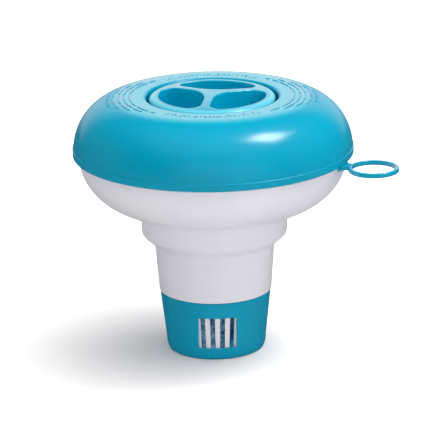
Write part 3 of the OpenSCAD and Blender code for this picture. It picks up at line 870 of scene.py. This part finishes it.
def add_hole(skin, turn, cell, hole, outer, inner, lip):
    """A patch of a round wall with a hole: rows run in over the outer face, round the lip,
    through the wall and out over the inner face. cell is (half angle, z0, z1), hole (half
    width, z0, z1, corner), and outer and inner give the wall's radii at a height."""
    rim = cell_outline(*cell, ACROSS, UPWARD)

    def on_wall(grow, depth, radius, sign):
        points = hole_outline(*hole, ACROSS, UPWARD, grow)
        r = radius(points[:, 1])
        return np.stack([np.arcsin(points[:, 0] / r), points[:, 1], r + sign * depth], -1)

    def face(radius, sign):
        start = np.column_stack([rim, radius(rim[:, 1])])
        end = on_wall(lip, 0, radius, sign)
        rows = []
        for t in np.linspace(0, 1, 4)[:-1]:
            row = start + (end - start) * t
            row[:, 2] = radius(row[:, 1])
            rows.append(row)
        return rows + [on_wall(lip * (1 - math.sin(a)), lip * (1 - math.cos(a)), radius, sign)
                       for a in quarter(4)]

    rows = np.stack(face(outer, -1) + face(inner, 1)[::-1])
    angle, z, r = rows[..., 0] + turn, rows[..., 1], rows[..., 2]
    skin.add(polar(r, angle, z), close_cols=True)


def add_strip(skin, start, end, z0, z1, across, radius, dent=None):
    """A plain patch of a round wall. dent gives how far it lies in, at a share of the way
    across and a height."""
    share, z = np.meshgrid(np.linspace(0, 1, across + 1), np.linspace(z0, z1, UPWARD + 1))
    angle = start + (end - start) * share
    r = radius(z) - (dent(share, z) if dent else 0)
    skin.add(polar(r, angle, z))


def add_holed_wall(skin, count, pitch, z0, z1, hole, outer, inner, lip, plain, dent=None):
    """A round wall with count holes, pitch apart in angle, at each window, and strips of
    plain columns between. Returns the angles of all its columns."""
    spans = []
    for k in range(WINDOWS):
        middle = WINDOW_ARC + TAU / WINDOWS * k
        for i in range(count):
            turn = middle + pitch * (i - (count - 1) / 2)
            spans.append((turn - pitch / 2, turn + pitch / 2, ACROSS))
            add_hole(skin, turn, (pitch / 2, z0, z1), hole, outer, inner, lip)
        a, b = middle + pitch * count / 2, middle + TAU / WINDOWS - pitch * count / 2
        spans.append((a, b, plain))
        add_strip(skin, a, b, z0, z1, plain, outer, dent)
        add_strip(skin, a, b, z0, z1, plain, inner)
    return np.concatenate([np.linspace(a, b, n + 1)[:-1] for a, b, n in sorted(spans)])


# ---- collar
def collar_r(z):
    """Radius of the collar's outside at height z: a straight taper over an elliptic foot."""
    z = np.asarray(z, float)
    cone = COLLAR_LOW_R + (COLLAR_TOP_R - COLLAR_LOW_R) * (z - FOOT_H) / (COLLAR_H - FOOT_H)
    foot = COLLAR_LOW_R - FOOT_INSET + FOOT_INSET * np.sqrt(
        np.clip(1 - ((FOOT_H - z) / FOOT_H) ** 2, 0, 1))
    return np.where(z >= FOOT_H, cone, foot)


def collar_in_r(z):
    return collar_r(z) - COLLAR_WALL


def flow_collar():
    low_z, high_z = 7 * MM, 35.6 * MM
    half_cell = math.asin(WINDOW_W / 2 / COLLAR_LOW_R) + 1.6 * DEG
    flute_ends = (7.6 * MM, 9 * MM, 33.5 * MM, 35 * MM)

    def flutes(share, z):
        """Shallow rounded grooves, fading out at their ends."""
        wave = np.abs(np.sin(math.pi * share * (FLUTES + 1)))
        groove = np.clip(1 - wave / 0.8, 0, 1) ** 1.5
        edge = np.clip(np.minimum(share, 1 - share) * (FLUTES + 1) - 0.5, 0, 1)
        fade = np.interp(z, flute_ends, (0, 1, 1, 0))
        return FLUTE_DEPTH * groove * edge * fade

    skin = Skin()
    hole = (WINDOW_W / 2, WINDOW_Z, WINDOW_Z + WINDOW_H, 0.8 * MM)
    angles = add_holed_wall(skin, 1, 2 * half_cell, low_z, high_z, hole, collar_r, collar_in_r,
                            0.35 * MM, 96, flutes)
    heights = np.linspace(0, 1, 14)[1:] ** 1.6 * low_z
    foot_r = COLLAR_LOW_R - FOOT_INSET
    outside = rounded((0, 0), (foot_r - 0.3 * MM, 0, 0.3 * MM),
                      np.stack([collar_r(heights[2:]), heights[2:]], -1))
    top = rounded((collar_r(high_z), high_z), (COLLAR_TOP_R, COLLAR_H, 0.5 * MM),
                  (COLLAR_TOP_R - COLLAR_WALL, COLLAR_H, 0.4 * MM), (collar_in_r(high_z), high_z))
    floor_corner = collar_in_r(COLLAR_FLOOR + 1.5 * MM)
    groove_in, groove_out = KEY_IN_R - 0.3 * MM, KEY_OUT_R + 0.3 * MM
    groove_z = COLLAR_FLOOR - KEY_H
    inside = rounded((collar_in_r(low_z), low_z), (floor_corner, COLLAR_FLOOR, 1.6 * MM),
                     (groove_out, COLLAR_FLOOR, 0.2 * MM), (groove_out, groove_z, 0.2 * MM),
                     (groove_in, groove_z, 0.2 * MM), (groove_in, COLLAR_FLOOR, 0.2 * MM),
                     (0, COLLAR_FLOOR))
    for profile in (outside, top, inside):
        skin.add(turned(profile, angles), close_cols=True)
    for k in range(3):
        middle = WINDOW_ARC + THIRD * (k + 0.5)
        skin.add_block(collar_in_r(SNAP_Z) - 0.8 * MM, collar_in_r(SNAP_Z) + 0.9 * MM, SNAP_Z + 0.4 * MM,
                       SNAP_Z + SNAP_H - 0.4 * MM, middle - 12 * DEG, middle + 12 * DEG, 0.3 * MM)
    return skin.piece("collar_skin", collar_plastic, "collar_body", "collar_plastic", "flow_collar")


# ---- lower float shell
def basket_r(z):
    return collar_r(z) - COLLAR_WALL - 0.3 * MM


def basket_in_r(z):
    return basket_r(z) - BASKET_WALL


def lower_float_shell():
    low_z, high_z = SLOT_Z - 1 * MM, SLOT_Z + SLOT_H + 1 * MM
    pitch = (SLOT_W + BAR_W) / basket_r(WINDOW_Z + WINDOW_H / 2)
    skin = Skin()
    hole = (SLOT_W / 2, SLOT_Z, SLOT_Z + SLOT_H, 0.6 * MM)
    angles = add_holed_wall(skin, SLOTS, pitch, low_z, high_z, hole, basket_r, basket_in_r,
                            0.25 * MM, 44)

    snap_top = SNAP_Z + SNAP_H
    flange_r = FLOAT_R - WALL - 0.3 * MM
    bowl_floor_r = CUP_R - 1.4 * MM
    bowl_w = BOWL_R - bowl_floor_r
    bowl_end = math.acos((CUP_R + CUP_FILLET_R - bowl_floor_r) / bowl_w)
    fillet_z = BOWL_Z - BOWL_DEPTH * math.sin(bowl_end)
    fillet_a = math.degrees(math.atan(BOWL_DEPTH / bowl_w / math.tan(bowl_end)))
    bend = math.atan((CUP_R - NECK_TOP_R - CUP_LIP_W) / CUP_EDGE_H)
    lip = NECK_TOP_R + 0.85 * MM
    heights = np.linspace(BASKET_LOW_Z + 1.4 * MM, low_z, 6)
    under = rounded((0, BASKET_LOW_Z), (basket_r(BASKET_LOW_Z + 1.2 * MM), BASKET_LOW_Z, 1.1 * MM),
                    np.stack([basket_r(heights), heights], -1))
    outside = rounded(
        (basket_r(high_z), high_z), (basket_r(SNAP_Z), SNAP_Z, 0.2 * MM),
        (basket_r(SNAP_Z) - SNAP_DEPTH, SNAP_Z, 0.2 * MM),
        (basket_r(snap_top) - SNAP_DEPTH, snap_top, 0.2 * MM), (basket_r(snap_top), snap_top, 0.2 * MM),
        (basket_r(COLLAR_H), NECK_Z, 0.2 * MM), (NECK_LOW_R, NECK_Z, 0.35 * MM),
        (NECK_TOP_R - 0.04 * MM, CUP_Z - 0.35 * MM, 0.25 * MM), (lip, CUP_Z - 0.35 * MM, 0.5 * MM),
        (lip, CUP_Z + 0.75 * MM, 0.3 * MM),
        arc((CUP_R - CUP_BEND_R, CUP_Z + CUP_EDGE_H + CUP_BEND_R * math.tan(bend / 2)),
            CUP_BEND_R, CUP_BEND_R, -math.degrees(bend), 0, 14),
        arc((CUP_R + CUP_FILLET_R, fillet_z - CUP_FILLET_R), CUP_FILLET_R, CUP_FILLET_R,
            180, 90 + fillet_a, 8),
        arc((bowl_floor_r, BOWL_Z), bowl_w, -BOWL_DEPTH, math.degrees(bowl_end), 0, 56),
        (flange_r, BOWL_Z, 0.2 * MM), (flange_r, BOWL_Z + FLANGE_T, 0.2 * MM),
        (BOWL_R - WALL, BOWL_Z + FLANGE_T, 0.2 * MM),
        arc((bowl_floor_r, BOWL_Z), bowl_w - WALL, WALL - BOWL_DEPTH, 0, 90, 40),
        (SLEEVE_R, BOWL_Z + WALL - BOWL_DEPTH, 0.8 * MM), (SLEEVE_R, TUBE_Z, 0.1 * MM),
        (OPENING_R, TUBE_Z, 0.1 * MM), (OPENING_R, CUP_Z + WALL, 5.6 * MM),
        (NECK_TOP_R - WALL, CUP_Z + WALL, 0.5 * MM), (NECK_LOW_R - WALL, NECK_IN_Z, 0.5 * MM),
        (basket_in_r(high_z), high_z))
    inside = rounded((basket_in_r(low_z), low_z), (basket_in_r(BASKET_FLOOR_Z), BASKET_FLOOR_Z, 0.5 * MM),
                     (0, BASKET_FLOOR_Z))
    for profile in (under, outside, inside):
        skin.add(turned(profile, angles), close_cols=True)
    skin.add_block(KEY_IN_R, KEY_OUT_R, BASKET_LOW_Z - KEY_H, BASKET_LOW_Z + 0.3 * MM,
                   WINDOW_ARC, WINDOW_ARC + KEY_ARC, 0.2 * MM)
    return skin.piece("white_body_skin", white_plastic, "float_body", "white_plastic",
                      "lower_float_shell", "neck", "basket")


# ---- tablets
def tablet(number):
    """A rounded disc the size of its CAD solid, pitted inwards by a sum of sine waves."""
    low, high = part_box(f"tablet_{number}")
    centre, r, h = (low + high) / 2, (high.x - low.x) / 2, high.z - low.z
    profile = rounded((0, 0), (r, 0, 1.2 * MM), (r, h, 1.2 * MM), (0, h), steps=6)
    lengths = np.concatenate([[0], np.cumsum(np.hypot(*np.diff(profile, axis=0).T))])
    even = np.linspace(0, lengths[-1], 60)
    profile = np.stack([np.interp(even, lengths, column) for column in profile.T], -1)
    grid = turned(profile, np.linspace(0, TAU, 90, endpoint=False))
    rng = np.random.default_rng(number)
    pits = np.zeros(grid.shape[:2])
    for wave in rng.normal(0, 900, (9, 3)):
        pits += np.sin(grid @ wave + rng.uniform(0, TAU))
    pits = np.clip(pits / 9 + 0.25, 0, 1) * 0.35 * MM
    from_middle = grid - np.array([0, 0, h / 2])
    inward = from_middle / np.maximum(np.linalg.norm(from_middle, axis=-1, keepdims=True), 1e-6)
    grid = grid - inward * pits[..., None] * (np.hypot(grid[..., 0], grid[..., 1])[..., None] > 1e-6)
    grid = grid + np.array([centre.x, centre.y, low.z])
    skin = Skin().add(grid, close_cols=True)
    return skin.piece(f"tablet_{number}_skin", tablet_finish, "float_body", "tablet", f"tablet_{number}")


shell_skin = upper_float_shell()
marks = crown_marks(shell_skin)
lid_skin = lid()
seal_ring = lid_seal()
collar_skin = flow_collar()
body_skin = lower_float_shell()
tablets = [tablet(number) for number in range(1, 7)]

# ---- floor, world and lamps
FLOOR_HALF = 4.0


def white_floor():
    """White floor. Camera and transmission rays also see a glow, which is faint in the part's soft
    shadow and grows away from it, so that the shadow is partly real and partly painted shadow.
    The glow grows again further out, where the lamps fall off. Gloss sees the floor
    lit behind the part and dim on the other sides, which keeps the plastic saturated."""
    f = Finish("white_floor")
    seen, gloss = f.seen_directly(), f.node("LightPath", out=3)
    away = f.dot(f.place(), AWAY)
    side = f.dot(f.place(), RIGHTWARD)
    from_axis = (away * away + side * side) ** 0.5
    side, back = side - SHADOW_SIDE, away - SHADOW_AWAY
    from_shadow = (back * back + side * side) ** 0.5
    near, shade, far = FLOOR_GLOW
    level = near + f.step(from_shadow, 0, SHADOW_REACH) * shade + f.step(from_axis, 0.12, 0.6) * far
    lit = f.node("BsdfDiffuse", None, {"Color": (0.68, 0.675, 0.68, 1)})
    glow = f.node("Emission", None, {"Strength": seen * level})
    bright = f.node("AddShader", None, {0: lit, 1: glow})
    dim = f.node("Emission", None, {"Strength": FLOOR_DIM})
    behind = f.step(away / (from_axis + 0.001), 0.9, 0.985)
    material = f.output(f.node("MixShader", None,
                               {0: gloss * (1 - behind) * 0.97, 1: bright, 2: dim}))
    mesh = bpy.data.meshes.new("floor")
    corners = [(x * FLOOR_HALF, y * FLOOR_HALF, 0) for x, y in ((-1, -1), (1, -1), (1, 1), (-1, 1))]
    mesh.from_pydata(corners, [], [(0, 1, 2, 3)])
    mesh.materials.append(material)
    linked("floor", mesh)


def studio_world():
    """White to the camera and through clear things. Gloss sees a white backdrop behind the
    part and a dim room on the other sides. The rest is lit evenly."""
    f = Finish("studio_world", world=True)
    seen, glossy = f.seen_directly(), f.node("LightPath", out=3)
    direction = f.node("TexCoord", out=0)
    behind, height = f.dot(direction, AWAY), f.dot(direction, UP)
    backdrop = f.step(behind, 0.7, 0.92) * (1 - f.step(height, *BACKDROP_TOP))
    gloss_light = ROOM_LIGHT + backdrop * (BACKDROP_LIGHT - ROOM_LIGHT)
    lit = AMBIENT + glossy * (gloss_light - AMBIENT)
    f.output(f.node("Background", None, {"Strength": lit + seen * (1 - lit)}),
             "OutputWorld")
    bpy.context.scene.world = f.data


def softbox(name, azimuth, elevation, distance, width, height, level, shows=True):
    """Area lamp aimed at the part's shoulder, its azimuth to the camera's right. level is
    what it adds to a white surface that faces it. shows says whether gloss reflects it."""
    a, e = math.radians(azimuth), math.radians(elevation)
    toward = studio_place(math.sin(a) * math.cos(e), -math.cos(a) * math.cos(e), math.sin(e))
    data = bpy.data.lights.new(name, "AREA")
    data.shape = "RECTANGLE"
    data.size, data.size_y = width, height
    data.energy = level * (math.pi * distance) ** 2
    lamp = linked(name, data)
    lamp.location = studio_place(0, 0, SHOULDER_AIM_Z) + toward * distance
    lamp.rotation_euler = toward.to_track_quat("Z", "Y").to_euler()
    lamp.visible_glossy = shows


SHOULDER_AIM_Z = 0.13
# FLOOR_GLOW and the SHADOW_ values set the painted shadow: the glow is faintest about SHADOW_SIDE and
# SHADOW_AWAY and rises over SHADOW_REACH.
FLOOR_GLOW = (0.1, 0.64, 0.25)  # seen by the camera: in the shadow, past it, and far out
FLOOR_DIM = 0.03  # what gloss sees of the floor, but behind the part
SHADOW_SIDE, SHADOW_AWAY, SHADOW_REACH = -0.03, -0.012, 0.165
AMBIENT = 0.1
ROOM_LIGHT = 0.02
BACKDROP_LIGHT = 1.0
BACKDROP_TOP = (0.3, 0.7)  # sine of the elevations where the backdrop fades out
white_floor()
studio_world()
softbox("highlight_softbox", 90, 62, 1.15, 0.35, 0.34, 0.5)
softbox("overhead_softbox", 0, 84, 2.2, 3.2, 3.2, 0.97, shows=False)
softbox("front_softbox", 8, 14, 2.2, 3.2, 1.6, 0.5, shows=False)
softbox("right_softbox", 95, 42, 2.2, 2.6, 2.6, 0.3, shows=False)
softbox("back_softbox", -120, 12, 2.2, 3.0, 1.4, 0.38, shows=False)

view = bpy.context.scene.view_settings
view.view_transform = "Standard"

# ---- image points
bpy.context.view_layer.update()


def finished(piece):
    """Vertices of a finished piece. Its object sits at the origin."""
    mesh = piece.evaluated_get(bpy.context.evaluated_depsgraph_get()).to_mesh()
    points = np.empty(len(mesh.vertices) * 3)
    mesh.vertices.foreach_get("co", points)
    return points.reshape(-1, 3)


def on_circle(radius, z, count=720):
    """Pixels of a level circle about the axis."""
    a = np.linspace(0, TAU, count, endpoint=False)
    return pixels_of(polar(radius, a, 0 * a + z))


JAMB_Z = 18 * MM  # height at which the window's sides are read
CUP_WALL_Z = (77 * MM, 86 * MM)  # heights between which the cup's sides are read


def shown_points():
    """Where each named image point's thing falls in the picture."""
    dome = finished(shell_skin)
    body_only = pixels_of(dome[np.hypot(dome[:, 0], dome[:, 1]) <= FLOAT_R + 0.1 * MM])
    ring = pixels_of(dome[dome[:, 0] > EYE_X - EYE_R - 1 * MM])
    foot = pixels_of(finished(collar_skin))
    white = finished(body_skin)
    cup = pixels_of(white[(white[:, 2] > CUP_WALL_Z[0]) & (white[:, 2] < CUP_WALL_Z[1])])
    cap = on_circle(LID_R - 0.5 * MM, LID_RIM_Z - 1.2 * MM)
    opening = on_circle(OPENING_R + 0.2 * MM, CROWN_Z - 0.1 * MM)
    rim = on_circle(FLOAT_R, RIM_Z + 0.4 * MM)
    collar_top = on_circle(COLLAR_TOP_R, COLLAR_H)
    window_r = collar_r(JAMB_Z)
    jamb = math.asin(WINDOW_W / 2 / window_r)
    sides = pixels_of(polar(window_r, WINDOW_ARC + np.array([-jamb, jamb]), JAMB_Z + np.zeros(2)))
    dashes = pixels_of(finished(marks))

    seen = {"dome": body_only, "crown": body_only, "foot": foot, "ring": ring, "cap": cap,
            "cup": cup, "marks": dashes, "window": sides,
            "opening": opening, "rim": rim, "collar": collar_top}
    ends = {"left": (0, -1), "right": (0, 1), "top": (1, -1), "bottom": (1, 1)}
    found = {}
    for name, point in POINTS.items():
        thing, side = name.split("_")
        pixels = seen[thing]
        if side == "front":
            near = pixels[pixels[:, 1] > pixels[:, 1].mean()]
            found[name] = near[np.argmin(np.abs(near[:, 0] - point[0]))]
        else:
            axis, sign = ends[side]
            found[name] = pixels[np.argmax(sign * pixels[:, axis])]
    return found


def write_points():
    shown = shown_points()
    for name, (x, y) in POINTS.items():
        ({"dx": None if x is None else round(float(shown[name][0] - x), 2),
                       "dy": None if y is None else round(float(shown[name][1] - y), 2)})


write_points()
